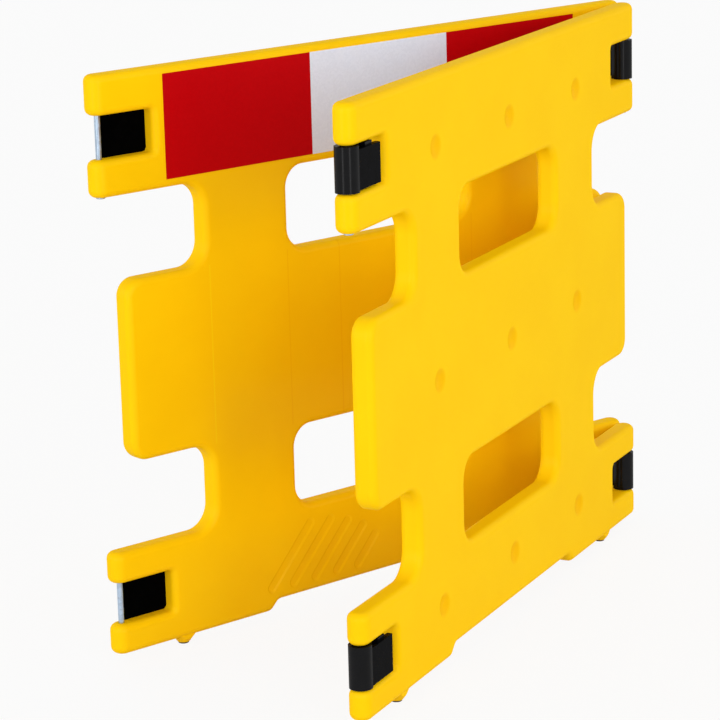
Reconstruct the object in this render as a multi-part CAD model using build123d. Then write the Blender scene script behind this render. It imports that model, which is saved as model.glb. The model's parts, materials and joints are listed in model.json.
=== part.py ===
"""Folding pedestrian barrier: two blow-moulded panels in a V, linked by swivelling clips on steel pins.

Each panel is modelled flat in its own frame: x along its width from one end, y through its thickness
from the outer face to the inner face, z up from its bottom edge. The near panel stays there, the back
panel is turned about the hinge, and the whole is then moved so that the origin is on the floor below
the middle of its box. All lengths are in millimetres and all angles in degrees.
"""
import os

from build123d import *

# Moulded panel: outline
PANEL_WIDTH = 1220.0
PANEL_HEIGHT = 1000.0
PANEL_THICKNESS = 40.0
EDGE_RADIUS = 12.0
TOP_BEAM_HEIGHT = 205.0
BOTTOM_BEAM_HEIGHT = 182.0
MIDDLE_INSET = 50.0
MIDDLE_CORNER = 32.0

# Waists between the beams and the middle part, and the hand windows level with them
UPPER_WAIST_HEIGHT = 145.0
LOWER_WAIST_HEIGHT = 152.0
WAIST_DEPTH = 218.0
WAIST_CORNER = 42.0
WINDOW_WIDTH = 420.0
WINDOW_HEIGHT = 146.0
WINDOW_CORNER = 38.0

# Notches in the beam ends, which split each end into two lugs
NOTCH_DEPTH = 121.0
NOTCH_HEIGHT = 74.0
NOTCH_CORNER = 8.0
TOP_LUG_HEIGHT = 68.0
BOTTOM_LUG_HEIGHT = 53.0

# Raised stretch in the bottom edge, and the foot stubs beside it
ARCH_HEIGHT = 18.0
ARCH_WIDTH = 550.0
ARCH_CORNER = 16.0
FOOT_INSET = 150.0
STUB_HEIGHT = 12.0
STUB_TOP_RADIUS = 20.0
STUB_BOTTOM_RADIUS = 11.0
STUB_THICKNESS = 32.0

# Dished spots where the two walls of the moulding meet
DIMPLE_RADIUS = 25.0
DIMPLE_DEPTH = 5.5
DIMPLE_RIM_WIDTH = 9.0
DIMPLE_RIM_SINK = 0.3
DIMPLE_PITCH = 305.0
DIMPLE_TOP_DROP = 118.0
DIMPLE_LOW_HEIGHT = 103.0

# Slanted finger flutes in the inner face of the bottom beam
FLUTE_COUNT = 5
FLUTE_START = 334.5
FLUTE_PITCH = 50.0
FLUTE_LOW_HEIGHT = 44.0
FLUTE_LENGTH = 137.0
FLUTE_SHORTER = 4.6
FLUTE_SLOPE = 48.0
FLUTE_WIDTH = 20.0
FLUTE_DEPTH = 2.4
FLUTE_DRAFT = 58.0

# Reflective film on the inner face of the top beam: red, white, red
FILM_END_MARGIN = 136.0
FILM_TOP_MARGIN = 12.0
FILM_LOW_MARGIN = 15.0
FILM_SHIFT = -5.0
FILM_THICKNESS = 0.4

# Steel pins across the notches, with push-on caps under the lugs
PIN_RADIUS = 5.0
PIN_COVER = 18.0
PIN_CLEARANCE = 0.05
PIN_CHAMFER = 1.0
CAP_RADIUS = 8.0
CAP_HEIGHT = 5.0
CAP_CROWN = 1.5
CAP_SEAT = 3.0
CAP_POCKET_CLEARANCE = 1.0
CAP_PROUD = 2.5

# Rubber pads pressed into the foot stubs
PAD_RADIUS = 9.5
PAD_HEIGHT = 3.0
PAD_STEM_RADIUS = 4.5
PAD_STEM_LENGTH = 14.0
PAD_CROWN = 1.0

# Swivelling clips: an eye round one pin, a plate and an open hook for the next pin
CLIP_REACH = 48.0
EYE_RADIUS = 19.5
CLIP_END_PLAY = 0.6
PLATE_THICKNESS = 10.0
PLATE_TOP_INSET = 6.0
PLATE_LOW_INSET = 3.4
PLATE_END = 33.0
PLATE_CORNER = 2.0
HOOK_WALL = 7.0
HOOK_MOUTH = 8.6
HOOK_LEAD = 14.0

# Stop plates pressed into the back panel's free notches, clear of a hook on the pin in front of them
STOP_START = 31.0
STOP_INSET = 8.5
STOP_THICKNESS = 5.0
STOP_PLAY = 0.2

# How far the barrier is folded: link from the near panel, then back panel from the link
LINK_ANGLE = 54.0
BACK_ANGLE = 102.0

# Slack for telling whether two places are the same
SAME_PLACE = 0.01

MID_THICKNESS = PANEL_THICKNESS / 2
PANEL_MIDDLE = PANEL_WIDTH / 2
PIN_INSET = MID_THICKNESS
TOP_BEAM_LOW = PANEL_HEIGHT - TOP_BEAM_HEIGHT
MIDDLE_LOW = BOTTOM_BEAM_HEIGHT + LOWER_WAIST_HEIGHT
MIDDLE_HIGH = TOP_BEAM_LOW - UPPER_WAIST_HEIGHT
FILM_BLOCK = (PANEL_WIDTH - 2 * FILM_END_MARGIN) / 3
FILM_HEIGHT = TOP_BEAM_HEIGHT - FILM_TOP_MARGIN - FILM_LOW_MARGIN
NOTCHES = {
    "top": PANEL_HEIGHT - TOP_LUG_HEIGHT - NOTCH_HEIGHT / 2,
    "bottom": BOTTOM_LUG_HEIGHT + NOTCH_HEIGHT / 2,
}
CAP_UNDERSIDES = {
    "top": TOP_BEAM_LOW - CAP_PROUD,
    "bottom": CAP_POCKET_CLEARANCE,
}
LUG_TOPS = {"top": PANEL_HEIGHT, "bottom": BOTTOM_BEAM_HEIGHT}
PIN_PLACES = [PIN_INSET, PANEL_WIDTH - PIN_INSET]
FOOT_PLACES = [FOOT_INSET, PANEL_WIDTH - FOOT_INSET]
WINDOW_HEIGHTS = [BOTTOM_BEAM_HEIGHT + WINDOW_HEIGHT / 2, TOP_BEAM_LOW - WINDOW_HEIGHT / 2]


def upright(radius, low, high):
    """A round bar along z, standing on the origin's axis between two heights."""
    return Pos(0, 0, (low + high) / 2) * Cylinder(radius, high - low)


def side_cut():
    """The two waists at the left end and the strip that sets the middle part back between them."""
    outside = -WAIST_DEPTH
    points = [
        (outside, TOP_BEAM_LOW),
        (WAIST_DEPTH, TOP_BEAM_LOW),
        (WAIST_DEPTH, MIDDLE_HIGH),
        (MIDDLE_INSET, MIDDLE_HIGH),
        (MIDDLE_INSET, MIDDLE_LOW),
        (WAIST_DEPTH, MIDDLE_LOW),
        (WAIST_DEPTH, BOTTOM_BEAM_HEIGHT),
        (outside, BOTTOM_BEAM_HEIGHT),
    ]
    waist = [WAIST_CORNER, WAIST_CORNER]
    middle = [MIDDLE_CORNER, MIDDLE_CORNER]
    radii = [WAIST_CORNER] + waist + middle + waist + [WAIST_CORNER]
    return make_face(FilletPolyline(*points, radius=radii, close=True))


def arch_cut():
    """The raised stretch of the bottom edge, with sides at 45 degrees."""
    half = ARCH_WIDTH / 2
    points = [
        (PANEL_MIDDLE - half, 0),
        (PANEL_MIDDLE - half + ARCH_HEIGHT, ARCH_HEIGHT),
        (PANEL_MIDDLE + half - ARCH_HEIGHT, ARCH_HEIGHT),
        (PANEL_MIDDLE + half, 0),
    ]
    return make_face(Polyline(*points, close=True))


def panel_outline():
    """The panel seen square on, as a flat sketch with x along the width and y as the height."""
    outline = Pos(PANEL_MIDDLE, PANEL_HEIGHT / 2) * Rectangle(PANEL_WIDTH, PANEL_HEIGHT)
    cut = side_cut()
    outline -= cut
    outline -= Pos(PANEL_WIDTH, 0) * mirror(cut, Plane.YZ)
    for middle in NOTCHES.values():
        for end in (0, PANEL_WIDTH):
            notch = RectangleRounded(2 * NOTCH_DEPTH, NOTCH_HEIGHT, NOTCH_CORNER)
            outline -= Pos(end, middle) * notch
    for height in WINDOW_HEIGHTS:
        window = RectangleRounded(WINDOW_WIDTH, WINDOW_HEIGHT, WINDOW_CORNER)
        outline -= Pos(PANEL_MIDDLE, height) * window
    outline -= arch_cut()
    near_arch = (ARCH_WIDTH + ARCH_HEIGHT) / 2
    arch_corners = [
        corner
        for corner in outline.vertices()
        if corner.Y < ARCH_HEIGHT + SAME_PLACE and abs(corner.X - PANEL_MIDDLE) < near_arch
    ]
    return fillet(arch_corners, ARCH_CORNER)


def rounded_slab():
    """The panel's block: half-round lug ends about the pins, and rounded edges all round."""
    slab = extrude(Plane.XZ * panel_outline(), -PANEL_THICKNESS)
    plan = Pos(PANEL_MIDDLE, MID_THICKNESS) * SlotOverall(PANEL_WIDTH, PANEL_THICKNESS)
    slab = slab & extrude(plan, PANEL_HEIGHT)
    through = slab.edges().filter_by(Axis.Y)
    seams = [
        edge
        for edge in slab.edges().filter_by(Axis.Z)
        if min(abs(edge.center().X - place) for place in PIN_PLACES) < SAME_PLACE
    ]
    left_sharp = list(through) + seams
    return fillet([edge for edge in slab.edges() if edge not in left_sharp], EDGE_RADIUS)


def dimple():
    """A dish with a soft rim, along z and open upwards at z = 0."""
    rim_start = (DIMPLE_RADIUS - DIMPLE_RIM_WIDTH, -DIMPLE_DEPTH * DIMPLE_RIM_WIDTH / DIMPLE_RADIUS)
    bowl = TangentArc((0, -DIMPLE_DEPTH), rim_start, tangent=(1, 0))
    rim = TangentArc(rim_start, (DIMPLE_RADIUS, 0), tangent=bowl % 1)
    lid = Polyline((DIMPLE_RADIUS, 0), (DIMPLE_RADIUS, DIMPLE_DEPTH), (0, DIMPLE_DEPTH), (0, -DIMPLE_DEPTH))
    section = Plane.XZ * make_face([bowl, rim, lid])
    return Pos(0, 0, DIMPLE_RIM_SINK) * revolve(section, Axis.Z)


def dimples():
    """Three rows of three dishes, sunk into the outer face."""
    middle_height = (MIDDLE_LOW + MIDDLE_HIGH) / 2
    heights = (DIMPLE_LOW_HEIGHT, middle_height, PANEL_HEIGHT - DIMPLE_TOP_DROP)
    dish = Rot(90, 0, 0) * dimple()
    return [
        Pos(PANEL_MIDDLE + step * DIMPLE_PITCH, 0, height) * dish
        for step in (-1, 0, 1)
        for height in heights
    ]


def flutes():
    """Slanted grooves sunk into the inner face, each shorter than the one before by a growing step."""
    made = []
    face = Plane.XZ.offset(-PANEL_THICKNESS)
    for number in range(FLUTE_COUNT):
        length = FLUTE_LENGTH - FLUTE_SHORTER * number**2
        low_end = Pos(PANEL_WIDTH - FLUTE_START - number * FLUTE_PITCH, FLUTE_LOW_HEIGHT)
        slot = Pos(length / 2, 0) * SlotCenterToCenter(length, FLUTE_WIDTH)
        slot = low_end * Rot(0, 0, 180 - FLUTE_SLOPE) * slot
        made.append(extrude(face * slot, FLUTE_DEPTH, taper=FLUTE_DRAFT))
    return made


def foot_stub():
    """A tapered stub under the bottom edge, bored for the rubber pad's stem."""
    slope = (STUB_TOP_RADIUS - STUB_BOTTOM_RADIUS) / STUB_HEIGHT
    sunk = EDGE_RADIUS
    top_radius = STUB_TOP_RADIUS + slope * sunk
    height = STUB_HEIGHT + sunk
    stub = Cone(STUB_BOTTOM_RADIUS, top_radius, height)
    stub = Pos(0, 0, sunk - height / 2) * stub
    return stub & Box(4 * top_radius, STUB_THICKNESS, 4 * height)


def pin_top(level):
    """Height of the upper end of the pins in one beam."""
    return LUG_TOPS[level] - PIN_COVER


def pin_foot(level):
    """Height of the lower end of the pins in one beam, inside their caps."""
    return CAP_UNDERSIDES[level] + CAP_HEIGHT - CAP_SEAT


def panel():
    """The moulding, with its dishes, flutes, foot stubs, pin holes and pockets."""
    body = rounded_slab()
    body -= dimples()
    body -= flutes()
    for place in FOOT_PLACES:
        body += Pos(place, MID_THICKNESS) * foot_stub()
        stem_hole = upright(PAD_STEM_RADIUS, -STUB_HEIGHT, PAD_STEM_LENGTH - STUB_HEIGHT)
        body -= Pos(place, MID_THICKNESS) * stem_hole
    for place in PIN_PLACES:
        for level in NOTCHES:
            hole = upright(PIN_RADIUS, pin_foot(level), pin_top(level))
            body -= Pos(place, MID_THICKNESS) * hole
            pocket_top = CAP_UNDERSIDES[level] + CAP_HEIGHT
            pocket = upright(CAP_RADIUS + CAP_POCKET_CLEARANCE, pocket_top - 2 * CAP_HEIGHT, pocket_top)
            body -= Pos(place, MID_THICKNESS) * pocket
    return body


def pin(level):
    """One steel pin on the origin's axis."""
    bar = upright(PIN_RADIUS, pin_foot(level), pin_top(level))
    return chamfer(bar.edges().group_by(Axis.Z)[-1], PIN_CHAMFER)


def pin_cap(level):
    """The push-on cap on the lower end of a pin."""
    low = CAP_UNDERSIDES[level]
    cap = upright(CAP_RADIUS, low, low + CAP_HEIGHT)
    cap = fillet(cap.edges().group_by(Axis.Z)[0], CAP_CROWN)
    return cap - upright(PIN_RADIUS, pin_foot(level), low + CAP_HEIGHT)


def rubber_foot():
    """A rubber pad with the stem that holds it in its stub."""
    low = -STUB_HEIGHT - PAD_HEIGHT
    pad = upright(PAD_RADIUS, low, -STUB_HEIGHT)
    pad = fillet(pad.edges().group_by(Axis.Z)[0], PAD_CROWN)
    return pad + upright(PAD_STEM_RADIUS, low + PAD_CROWN, PAD_STEM_LENGTH - STUB_HEIGHT)


def film(block):
    """One block of film, counted from the middle of the top beam."""
    place = PANEL_MIDDLE + FILM_SHIFT + block * FILM_BLOCK
    height = TOP_BEAM_LOW + FILM_LOW_MARGIN + FILM_HEIGHT / 2
    sheet = Box(FILM_BLOCK, FILM_THICKNESS, FILM_HEIGHT)
    return Pos(place, PANEL_THICKNESS + FILM_THICKNESS / 2, height) * sheet


def stop_plate():
    """A plate that closes a notch in the right-hand end, whose mouth has its middle at the origin."""
    width = 2 * (NOTCH_DEPTH - STOP_PLAY)
    outline = RectangleRounded(width, NOTCH_HEIGHT - 2 * STOP_PLAY, NOTCH_CORNER)
    length = NOTCH_DEPTH - STOP_START
    outline &= Pos(-STOP_START - length / 2, 0) * Rectangle(length, NOTCH_HEIGHT)
    return Pos(0, STOP_INSET) * extrude(Plane.XZ * outline, -STOP_THICKNESS)


def clip():
    """One clip, with its eye on the origin's axis, its hook along +x and its plate on the -y side."""
    half = NOTCH_HEIGHT / 2 - CLIP_END_PLAY
    low = PLATE_LOW_INSET - half
    plate_length = CLIP_REACH + PLATE_END
    bore = PIN_RADIUS + PIN_CLEARANCE
    plate_middle = -EYE_RADIUS + PLATE_THICKNESS / 2
    plate = Pos(plate_length / 2, plate_middle) * Rectangle(plate_length, PLATE_THICKNESS)
    plate = extrude(plate, half - PLATE_TOP_INSET - low)
    plate = fillet(plate.edges().filter_by(Axis.Z).group_by(Axis.X)[-1], PLATE_CORNER)
    neck_depth = EYE_RADIUS - PLATE_THICKNESS / 2
    hook = Pos(CLIP_REACH, -neck_depth / 2) * Rectangle(2 * (bore + HOOK_WALL), neck_depth)
    hook += Pos(CLIP_REACH, 0) * Circle(bore + HOOK_WALL)
    hook -= Pos(CLIP_REACH, 0) * Circle(bore)
    mouth_height = 2 * (bore + HOOK_WALL)
    lead = HOOK_LEAD / 2 - HOOK_MOUTH / 2
    mouth = [
        (CLIP_REACH - HOOK_MOUTH / 2, 0),
        (CLIP_REACH - HOOK_MOUTH / 2, bore + HOOK_WALL - lead),
        (CLIP_REACH - HOOK_LEAD / 2 - lead, mouth_height),
        (CLIP_REACH + HOOK_LEAD / 2 + lead, mouth_height),
        (CLIP_REACH + HOOK_MOUTH / 2, bore + HOOK_WALL - lead),
        (CLIP_REACH + HOOK_MOUTH / 2, 0),
    ]
    hook -= make_face(Polyline(*mouth, close=True))
    body = Pos(0, 0, low) * (plate + extrude(hook, half - low))
    body += upright(EYE_RADIUS, -half, half)
    return body - upright(bore, -2 * half, 2 * half)


def assemble():
    """Every node by name, with its solids in place."""
    link = Pos(PANEL_WIDTH - PIN_INSET, MID_THICKNESS) * Rot(0, 0, LINK_ANGLE)
    turned = link * Pos(CLIP_REACH, 0) * Rot(0, 0, BACK_ANGLE) * Pos(-PIN_INSET, -MID_THICKNESS)
    panels = {"near": (Pos(0, 0, 0), ("free", "hinge")), "back": (turned, ("hinge", "free"))}
    nodes = {}
    moulding = panel()
    for side, (place, ends) in panels.items():
        nodes[f"{side}_panel"] = [place * moulding]
        nodes[f"{side}_film_white"] = [place * film(0)]
        nodes[f"{side}_film_red"] = [place * film(-1), place * film(1)]
        feet = [Pos(x, MID_THICKNESS) * rubber_foot() for x in FOOT_PLACES]
        nodes[f"{side}_feet"] = [place * foot for foot in feet]
        caps = []
        for x, end in zip(PIN_PLACES, ends):
            for level in NOTCHES:
                spot = place * Pos(x, MID_THICKNESS)
                nodes[f"{side}_{end}_pin_{level}"] = [spot * pin(level)]
                caps.append(spot * pin_cap(level))
        nodes[f"{side}_pin_caps"] = caps
    for level, height in NOTCHES.items():
        flipped = Rot(180, 0, 0) * clip()
        nodes[f"hinge_clip_{level}"] = [link * Pos(0, 0, height) * flipped]
        nodes[f"free_clip_{level}"] = [Pos(PIN_INSET, MID_THICKNESS, height) * clip()]
        nodes[f"back_stop_plate_{level}"] = [turned * Pos(PANEL_WIDTH, 0, height) * stop_plate()]
    return nodes


def main():
    nodes = assemble()
    box = Compound([solid for solids in nodes.values() for solid in solids]).bounding_box()
    middle = box.center()
    to_origin = Pos(-middle.X, -middle.Y, -box.min.Z)
    os.makedirs("parts", exist_ok=True)
    for name, solids in nodes.items():
        placed = [to_origin * solid for solid in solids]
        shape = placed[0] if len(placed) == 1 else Compound(placed)
        export_step(shape, f"parts/{name}.step")
    print("origin moved by", to_origin.position, "box", box.size)


main()
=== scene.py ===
import json
import math
from functools import partial, reduce

import bpy
from mathutils import Matrix, Vector


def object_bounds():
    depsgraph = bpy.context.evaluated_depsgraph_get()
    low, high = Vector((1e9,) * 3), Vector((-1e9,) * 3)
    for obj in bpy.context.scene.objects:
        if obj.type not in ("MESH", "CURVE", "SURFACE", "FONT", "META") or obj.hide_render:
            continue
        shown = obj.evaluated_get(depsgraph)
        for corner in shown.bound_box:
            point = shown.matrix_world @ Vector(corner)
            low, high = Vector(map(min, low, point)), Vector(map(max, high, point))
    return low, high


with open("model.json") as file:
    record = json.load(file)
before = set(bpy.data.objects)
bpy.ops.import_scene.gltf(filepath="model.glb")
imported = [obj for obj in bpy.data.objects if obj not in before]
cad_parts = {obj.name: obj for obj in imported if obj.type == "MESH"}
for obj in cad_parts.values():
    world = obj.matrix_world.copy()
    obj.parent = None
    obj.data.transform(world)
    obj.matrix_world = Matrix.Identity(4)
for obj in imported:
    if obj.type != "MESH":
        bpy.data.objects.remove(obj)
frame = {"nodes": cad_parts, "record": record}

cad_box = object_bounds()

# Camera: place and reach in metres, angles in degrees, lens and sensor in millimetres
CAMERA_PLACE = (-4.5415, -2.2020, 1.7238)
CAMERA_REACH = 100.0
CAMERA_HEADING = 26.101
CAMERA_TILT_DOWN = 14.254
CAMERA_ROLL = 1.544
CAMERA_LENS = 145.78
CAMERA_SENSOR = 36.0

# Colours, linear
WHITE = (1.0, 1.0, 1.0)
YELLOW = (0.965, 0.590, 0.0025)
YELLOW_DEEP = (0.955, 0.572, 0.0021)
# Painted shade: a deeper yellow in the dished spots, for the shade in those recesses
YELLOW_DISH_SHADE = (0.920, 0.500, 0.0010)
# Painted shade and painted highlight: darker and lighter yellow lines along faint bends of the inner
# face
YELLOW_BEND_SHADE = (0.930, 0.530, 0.0012)
YELLOW_BEND_HIGHLIGHT = (0.970, 0.645, 0.0060)
FILM_WHITE = (0.730, 0.790, 0.900)
FILM_WHITE_CELL = (0.700, 0.760, 0.870)
FILM_RED = (0.492, 0.0008, 0.0030)
FILM_RED_CELL = (0.472, 0.0007, 0.0027)
BLACK_PLASTIC = (0.0022, 0.0022, 0.0026)
BLACK_PLASTIC_WORN = (0.0032, 0.0032, 0.0038)
# Painted shade: a black far darker than the clips' plastic, for the stop plates deep in the notches
SHADE_BLACK = (0.0006, 0.0006, 0.0006)
SHADE_BLACK_DUSTY = (0.0010, 0.0010, 0.0010)
ZINC = (0.480, 0.590, 0.720)
ZINC_DULL = (0.380, 0.465, 0.565)
RUBBER = (0.0110, 0.0110, 0.0115)
RUBBER_DUSTY = (0.0240, 0.0235, 0.0225)

# Textures: noise by its scale per metre and its detail, cells by their scale per metre
YELLOW_CLOUDS = (9.0, 3.0)
YELLOW_SCUFFS = (40.0, 2.0)
YELLOW_WAVES = (7.0, 1.0)
YELLOW_GRAIN = (900.0, 2.0)
FILM_CELLS = 260.0
FILM_SCUFFS = (30.0, 2.0)
CLIP_RUB = (60.0, 4.0)
CLIP_GRAIN = (1500.0, 2.0)
DULL_DUST = (90.0, 3.0)
ZINC_SPANGLE = 160.0
RUBBER_DUST = (120.0, 4.0)
RUBBER_GRAIN = (800.0, 2.0)

# Depths of the bumps, in metres
YELLOW_WAVE_DEPTH = 0.0006
YELLOW_GRAIN_DEPTH = 0.00003
CLIP_GRAIN_DEPTH = 0.00003
RUBBER_GRAIN_DEPTH = 0.00005

# Roughness, at both ends of a texture's span
YELLOW_ROUGHNESS = (0.36, 0.44)
FILM_ROUGHNESS = (0.36, 0.46)
CLIP_COAT_ROUGHNESS = (0.17, 0.23)
DULL_ROUGHNESS = (0.80, 0.95)
ZINC_ROUGHNESS = (0.32, 0.46)
RUBBER_ROUGHNESS = (0.72, 0.86)

# Shine: of the bare surfaces, and of the clear coats on the panels and on the clips
NO_SHINE = 0.0
FILM_SHINE = 0.03
METAL = 1.0
YELLOW_COAT = 0.09
YELLOW_COAT_ROUGHNESS = 0.24
SMOOTH_CLIP_COAT = 0.28
GRAINED_CLIP_COAT = 0.07

# Spans of a texture's values: those that change the colour, and those that change another measure
NOISE_SPAN = (0.35, 0.65)
CELL_SPAN = (0.2, 0.8)
MEASURE_SPAN = (0.3, 0.7)

# Marks in the moulding, in metres: dishes on the outer face, where painted shade darkens the yellow, and
# faint bends on the inner face of the middle part, drawn as lines of painted shade and painted highlight
DISH_LOW_HEIGHT = 0.118
DISH_PITCH = 0.305
DISH_ROW_PITCH = 0.3895
DISH_RADIUS = 0.025
DISH_SOFT_RADIUS = 0.014
MIDDLE_HALF_HEIGHT = 0.158
BEND_LINE_HALF_WIDTH = 0.0012
# Distances from the middle of the lines of painted shade, and of the line of painted highlight
BEND_SHADE_LINES = (0.216, 0.099)
BEND_HIGHLIGHT_LINES = (0.386,)
FACE_START = 0.010
FACE_END = 0.014

# Flutes on the inner face of the bottom beam: where they lie, in metres, and how soft they look
FLUTES_HALF_LENGTH = 0.31
FLUTES_MIDDLE = -0.005
FLUTES_HALF_HEIGHT = 0.064
FLUTES_START = 0.0150
FLUTES_END = 0.0165
FLUTES_SOFTNESS = 0.50

# Outer face of a clip's plate, in metres from the eye's axis: across the clip and along it
PLATE_FACE_START = 0.0180
PLATE_FACE_END = 0.0190
PLATE_START = 0.002
PLATE_SOFT_START = 0.006

# Floor: size in metres, and how much of it shows as white
FLOOR_SIZE = 60.0
FLOOR_COLOUR = (0.76, 0.76, 0.76)
FLOOR_ROUGHNESS = 0.9
FLOOR_GLOW_SHARE = 0.90

# World: its light at the sides and overhead, how high each begins, and the light that the camera sees
WORLD_LIGHT = (1.95, 0.52)
WORLD_HEIGHTS = (0.15, 0.70)
WORLD_SEEN_LIGHT = 1.0

# Lamps, tall strips in metres: each one's name, place on the floor and power in watts
STRIP_WIDTH = 0.45
STRIP_HEIGHT = 2.6
STRIPS = (("key", (-2.28, -2.75), 15.0), ("left", (-3.55, 0.26), 16.0))


def join(tree, node, inputs):
    """Sets a node's inputs, and links those whose value is another node's output."""
    for key, value in inputs.items():
        if isinstance(value, bpy.types.NodeSocket):
            tree.links.new(value, node.inputs[key])
        else:
            node.inputs[key].default_value = value


def add(tree, kind, inputs=None, **settings):
    """A new shader node of that kind, with its settings made and its inputs filled."""
    node = tree.nodes.new("ShaderNode" + kind)
    for name, value in settings.items():
        setattr(node, name, value)
    join(tree, node, inputs or {})
    return node


def new_material(name):
    """A new material, its node tree and its shader."""
    material = bpy.data.materials.new(name)
    material.use_nodes = True
    tree = material.node_tree
    return material, tree, tree.nodes["Principled BSDF"]


def opaque(colour):
    """The colour with full cover."""
    return (*colour, 1.0)


def own_coordinates(tree):
    """Places in the piece's own frame, in metres, so that what is drawn there moves with its body."""
    return add(tree, "TexCoord").outputs["Object"]


def noise(tree, scale, detail):
    """Soft grey noise in the piece's own frame."""
    inputs = {"Vector": own_coordinates(tree), "Scale": scale, "Detail": detail}
    return add(tree, "TexNoise", inputs).outputs["Fac"]


def cells(tree, scale):
    """Random grey cells in the piece's own frame."""
    inputs = {"Vector": own_coordinates(tree), "Scale": scale}
    colours = add(tree, "TexVoronoi", inputs).outputs["Color"]
    return add(tree, "SeparateColor", {"Color": colours}).outputs["Red"]


def ramp(tree, value, low, high, span=NOISE_SPAN):
    """A colour that goes from low to high where the value goes through the span."""
    node = add(tree, "ValToRGB", {"Fac": value})
    for element, position, colour in zip(node.color_ramp.elements, span, (low, high)):
        element.position = position
        element.color = opaque(colour)
    return node.outputs["Color"]


def map_range(tree, value, span, ends, way):
    """A number that goes from one end to the other where the value goes through the span."""
    inputs = {
        "Value": value,
        "From Min": span[0],
        "From Max": span[1],
        "To Min": ends[0],
        "To Max": ends[1],
    }
    return add(tree, "MapRange", inputs, interpolation_type=way).outputs["Result"]


def spread(tree, value, low, high):
    """The middle part of a texture or mask, stretched to the range from low to high."""
    return map_range(tree, value, MEASURE_SPAN, (low, high), "LINEAR")


def soft_step(tree, value, start, end, low=0.0, high=1.0):
    """A soft step from low to high where the value goes from start to end."""
    return map_range(tree, value, (start, end), (low, high), "SMOOTHSTEP")


def calculate(tree, operation, *values):
    """Result of a calculation on numbers and outputs of other nodes."""
    return add(tree, "Math", dict(enumerate(values)), operation=operation).outputs["Value"]


def all_of(tree, *masks):
    """1 where all the masks are 1."""
    return reduce(partial(calculate, tree, "MULTIPLY"), masks)


def any_of(tree, *masks):
    """1 where at least one of the masks is 1."""
    return reduce(partial(calculate, tree, "MAXIMUM"), masks)


def bump(tree, height, depth, below=None):
    """A bump of that depth in metres, on top of the direction of the faces below if one is given."""
    inputs = {"Height": height, "Distance": depth}
    if below is not None:
        inputs["Normal"] = below
    return add(tree, "Bump", inputs).outputs["Normal"]


def tinted(tree, colour, mask, tint):
    """The colour, replaced by a tint where the mask is 1."""
    inputs = {"Factor": mask, "A": colour, "B": opaque(tint)}
    return add(tree, "Mix", inputs, data_type="RGBA").outputs["Result"]


def middle(name):
    """Middle of a CAD node's box in the shared frame."""
    corners = [Vector(corner) for corner in frame["nodes"][name].bound_box]
    return sum(corners, Vector()) / len(corners)


def own_places(tree, origin, direction):
    """Distances along, across and up a piece, from a place on it and in the direction that it lies."""
    inputs = {
        "Vector": own_coordinates(tree),
        "Location": origin,
        "Rotation": (0.0, 0.0, math.atan2(direction.y, direction.x)),
    }
    turned = add(tree, "Mapping", inputs, vector_type="TEXTURE").outputs["Vector"]
    split = add(tree, "SeparateXYZ", {"Vector": turned})
    return [split.outputs[axis] for axis in "XYZ"]


def painted_dish_shade(tree, along, across, up):
    """1 in the dished spots of a panel's outer face, where painted shade darkens the yellow, and 0
    elsewhere.
    """
    sideways = calculate(tree, "PINGPONG", along, DISH_PITCH / 2)
    upwards = calculate(tree, "PINGPONG", up, DISH_ROW_PITCH / 2)
    squares = [calculate(tree, "POWER", side, 2.0) for side in (sideways, upwards)]
    distance = calculate(tree, "SQRT", calculate(tree, "ADD", *squares))
    inside = soft_step(tree, distance, DISH_RADIUS, DISH_SOFT_RADIUS)
    outer_face = soft_step(tree, across, -FACE_START, -FACE_END)
    return all_of(tree, inside, outer_face)


def painted_bend_lines(tree, along, across, up, places):
    """1 on upright lines on the inner face of a panel's middle part, where painted shade and painted
    highlight mark faint bends, and 0 elsewhere.
    """
    distance = calculate(tree, "ABSOLUTE", along)
    lines = [calculate(tree, "COMPARE", distance, place, BEND_LINE_HALF_WIDTH) for place in places]
    level = calculate(tree, "COMPARE", up, DISH_ROW_PITCH, MIDDLE_HALF_HEIGHT)
    inner_face = soft_step(tree, across, FACE_START, FACE_END)
    return all_of(tree, any_of(tree, *lines), level, inner_face)


def soft_flutes(tree, along, across, up, facing):
    """The faces' direction, turned part of the way to the inner face's own where the flutes lie."""
    reach = calculate(tree, "COMPARE", along, 0.0, FLUTES_HALF_LENGTH)
    level = calculate(tree, "COMPARE", up, FLUTES_MIDDLE, FLUTES_HALF_HEIGHT)
    inner_face = soft_step(tree, across, FLUTES_START, FLUTES_END)
    flutes = all_of(tree, reach, level, inner_face)
    settings = {"vector_type": "NORMAL", "convert_from": "OBJECT", "convert_to": "WORLD"}
    inputs = {
        "Factor": calculate(tree, "MULTIPLY", flutes, FLUTES_SOFTNESS),
        "A": add(tree, "NewGeometry").outputs["Normal"],
        "B": add(tree, "VectorTransform", {"Vector": facing}, **settings).outputs["Vector"],
    }
    return add(tree, "Mix", inputs, data_type="VECTOR").outputs["Result"]


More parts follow.
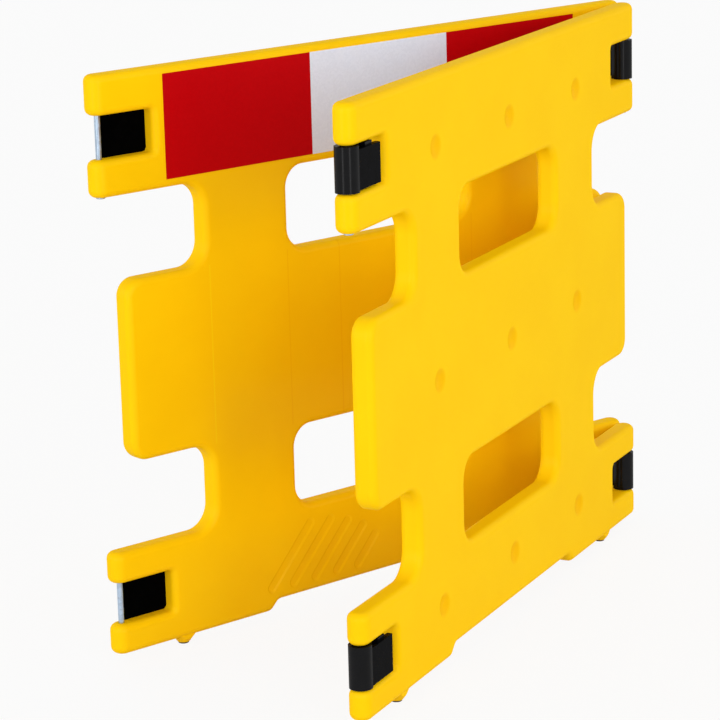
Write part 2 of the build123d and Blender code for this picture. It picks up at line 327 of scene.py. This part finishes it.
def moulded_yellow(name, first_pin, last_pin):
    """Blow-moulded polyethylene with painted shade in the dishes, lines of painted shade and painted
    highlight on faint bends, soft waves and a fine grain.
    """
    material, tree, shader = new_material(name)
    first, last = middle(first_pin), middle(last_pin)
    centre = (first + last) / 2
    centre.z = cad_box[0].z + DISH_LOW_HEIGHT
    length = (last - first).normalized()
    facing = Vector((-length.y, length.x, 0.0))
    places = own_places(tree, centre, length)
    colour = ramp(tree, noise(tree, *YELLOW_CLOUDS), YELLOW_DEEP, YELLOW)
    # Painted shade in the dishes
    colour = tinted(tree, colour, painted_dish_shade(tree, *places), YELLOW_DISH_SHADE)
    # Painted shade and painted highlight along faint bends of the inner face
    colour = tinted(tree, colour, painted_bend_lines(tree, *places, BEND_SHADE_LINES), YELLOW_BEND_SHADE)
    colour = tinted(tree, colour, painted_bend_lines(tree, *places, BEND_HIGHLIGHT_LINES), YELLOW_BEND_HIGHLIGHT)
    faces = soft_flutes(tree, *places, facing)
    waves = bump(tree, noise(tree, *YELLOW_WAVES), YELLOW_WAVE_DEPTH, faces)
    join(tree, shader, {
        "Base Color": colour,
        "Roughness": spread(tree, noise(tree, *YELLOW_SCUFFS), *YELLOW_ROUGHNESS),
        "Normal": bump(tree, noise(tree, *YELLOW_GRAIN), YELLOW_GRAIN_DEPTH, waves),
        "Specular IOR Level": NO_SHINE,
        "Coat Weight": YELLOW_COAT,
        "Coat Roughness": YELLOW_COAT_ROUGHNESS,
    })
    return material


def reflective_film(name, colour, cell_colour):
    """Reflective sheeting: small cells under a clear smooth face."""
    material, tree, shader = new_material(name)
    join(tree, shader, {
        "Base Color": ramp(tree, cells(tree, FILM_CELLS), cell_colour, colour, CELL_SPAN),
        "Roughness": spread(tree, noise(tree, *FILM_SCUFFS), *FILM_ROUGHNESS),
        "Specular IOR Level": FILM_SHINE,
    })
    return material


def black_plastic(name, eye_pin, next_pin, side):
    """Moulded black plastic: smooth, with a grained plate on one side of the line between two pins."""
    material, tree, shader = new_material(name)
    eye = middle(eye_pin)
    along, across, _ = own_places(tree, eye, middle(next_pin) - eye)
    outer_face = soft_step(tree, across, side * PLATE_FACE_START, side * PLATE_FACE_END)
    plate = all_of(tree, outer_face, soft_step(tree, along, PLATE_START, PLATE_SOFT_START))
    rub = noise(tree, *CLIP_RUB)
    join(tree, shader, {
        "Base Color": ramp(tree, rub, BLACK_PLASTIC, BLACK_PLASTIC_WORN),
        "Normal": bump(tree, noise(tree, *CLIP_GRAIN), CLIP_GRAIN_DEPTH),
        "Specular IOR Level": NO_SHINE,
        "Coat Weight": spread(tree, plate, SMOOTH_CLIP_COAT, GRAINED_CLIP_COAT),
        "Coat Roughness": spread(tree, rub, *CLIP_COAT_ROUGHNESS),
    })
    return material


def painted_shade_black():
    """Black plastic much darker than the clips', a painted shade for the stop plates deep in the
    notches.
    """
    material, tree, shader = new_material("painted_shade_black")
    dust = noise(tree, *DULL_DUST)
    join(tree, shader, {
        "Base Color": ramp(tree, dust, SHADE_BLACK, SHADE_BLACK_DUSTY),
        "Roughness": spread(tree, dust, *DULL_ROUGHNESS),
        "Specular IOR Level": NO_SHINE,
    })
    return material


def galvanised_steel():
    """Zinc-coated steel with a spangle."""
    material, tree, shader = new_material("galvanised_steel")
    spangle = cells(tree, ZINC_SPANGLE)
    join(tree, shader, {
        "Base Color": ramp(tree, spangle, ZINC_DULL, ZINC, CELL_SPAN),
        "Roughness": spread(tree, spangle, *ZINC_ROUGHNESS),
        "Metallic": METAL,
    })
    return material


def rubber():
    """Dull black rubber."""
    material, tree, shader = new_material("rubber")
    dust = noise(tree, *RUBBER_DUST)
    join(tree, shader, {
        "Base Color": ramp(tree, dust, RUBBER, RUBBER_DUSTY),
        "Roughness": spread(tree, dust, *RUBBER_ROUGHNESS),
        "Normal": bump(tree, noise(tree, *RUBBER_GRAIN), RUBBER_GRAIN_DEPTH),
    })
    return material


def paint_nodes():
    """Gives every CAD node its own material, or else that of its slot in the record."""
    by_slot = {
        "film_white": reflective_film("film_white", FILM_WHITE, FILM_WHITE_CELL),
        "film_red": reflective_film("film_red", FILM_RED, FILM_RED_CELL),
        "steel": galvanised_steel(),
        "rubber": rubber(),
    }
    painted_shade = painted_shade_black()
    free_clip = black_plastic("free_clip", "near_free_pin_top", "near_hinge_pin_top", -1.0)
    hinge_clip = black_plastic("hinge_clip", "near_hinge_pin_top", "back_hinge_pin_top", 1.0)
    by_node = {
        "free_clip_top": free_clip,
        "free_clip_bottom": free_clip,
        "hinge_clip_top": hinge_clip,
        "hinge_clip_bottom": hinge_clip,
        "near_panel": moulded_yellow("yellow_near", "near_free_pin_top", "near_hinge_pin_top"),
        "back_panel": moulded_yellow("yellow_back", "back_hinge_pin_top", "back_free_pin_top"),
        # The stop plates get the painted shade black
        "back_stop_plate_top": painted_shade,
        "back_stop_plate_bottom": painted_shade,
    }
    for part in frame["record"]["subparts"]:
        name = part["node"]
        materials = frame["nodes"][name].data.materials
        materials.clear()
        materials.append(by_node[name] if name in by_node else by_slot[part["material_slot"]])


def camera_rays(tree):
    """1 for what the camera sees, directly or in a reflection, and 0 for light."""
    path = add(tree, "LightPath")
    kinds = ("Is Camera Ray", "Is Glossy Ray", "Is Transmission Ray")
    return any_of(tree, *[path.outputs[kind] for kind in kinds])


def make_floor():
    """A plain pale floor that keeps the object's shadow and shows as white elsewhere."""
    bpy.ops.mesh.primitive_plane_add(size=FLOOR_SIZE, location=(0, 0, cad_box[0].z))
    floor = bpy.context.object
    floor.name = "floor"
    material, tree, shader = new_material("pale_floor")
    join(tree, shader, {
        "Base Color": opaque(FLOOR_COLOUR),
        "Roughness": FLOOR_ROUGHNESS,
        "Specular IOR Level": NO_SHINE,
    })
    glow = add(tree, "Emission", {"Color": opaque(WHITE)})
    mix = add(tree, "MixShader", {
        "Fac": calculate(tree, "MULTIPLY", camera_rays(tree), FLOOR_GLOW_SHARE),
        1: shader.outputs["BSDF"],
        2: glow.outputs["Emission"],
    })
    join(tree, tree.nodes["Material Output"], {"Surface": mix.outputs["Shader"]})
    floor.data.materials.append(material)


def make_world():
    """A soft world, dimmer overhead than at the sides, that the camera sees as white."""
    world = bpy.data.worlds.new("studio")
    bpy.context.scene.world = world
    world.use_nodes = True
    tree = world.node_tree
    direction = add(tree, "TexCoord").outputs["Generated"]
    height = add(tree, "SeparateXYZ", {"Vector": direction}).outputs["Z"]
    light = soft_step(tree, height, *WORLD_HEIGHTS, *WORLD_LIGHT)
    inputs = {"Factor": camera_rays(tree), "A": light, "B": WORLD_SEEN_LIGHT}
    strength = add(tree, "Mix", inputs).outputs["Result"]
    join(tree, tree.nodes["Background"], {"Color": opaque(WHITE), "Strength": strength})


def make_lights():
    """Two tall soft strips on the floor: right of the camera, and left along the V."""
    centre = (cad_box[0] + cad_box[1]) / 2
    aim = Vector((centre.x, centre.y, STRIP_HEIGHT / 2))
    for name, spot, power in STRIPS:
        place = Vector((*spot, STRIP_HEIGHT / 2))
        lamp = bpy.data.lights.new(name, "AREA")
        lamp.shape = "RECTANGLE"
        lamp.size = STRIP_WIDTH
        lamp.size_y = STRIP_HEIGHT
        lamp.energy = power
        strip = bpy.data.objects.new(name, lamp)
        bpy.context.collection.objects.link(strip)
        strip.location = place
        strip.rotation_euler = (aim - place).to_track_quat("-Z", "Y").to_euler()


def make_camera():
    """The camera at the photograph's angle."""
    heading = math.radians(CAMERA_HEADING)
    tilt = math.radians(CAMERA_TILT_DOWN)
    roll = math.radians(CAMERA_ROLL)
    flat = Vector((math.cos(heading), math.sin(heading), 0.0))
    forward = flat * math.cos(tilt) - Vector((0, 0, math.sin(tilt)))
    level_right = Vector((math.sin(heading), -math.cos(heading), 0.0))
    level_down = forward.cross(level_right)
    right = level_right * math.cos(roll) + level_down * math.sin(roll)
    up = level_right * math.sin(roll) - level_down * math.cos(roll)
    data = bpy.data.cameras.new("camera")
    data.lens = CAMERA_LENS
    data.sensor_width = CAMERA_SENSOR
    data.clip_end = CAMERA_REACH
    camera = bpy.data.objects.new("camera", data)
    bpy.context.collection.objects.link(camera)
    turn = Matrix((right, up, -forward)).transposed()
    camera.matrix_world = Matrix.Translation(CAMERA_PLACE) @ turn.to_4x4()
    bpy.context.scene.camera = camera


paint_nodes()
make_floor()
make_world()
make_lights()
make_camera()
bpy.context.scene.view_settings.view_transform = "Standard"
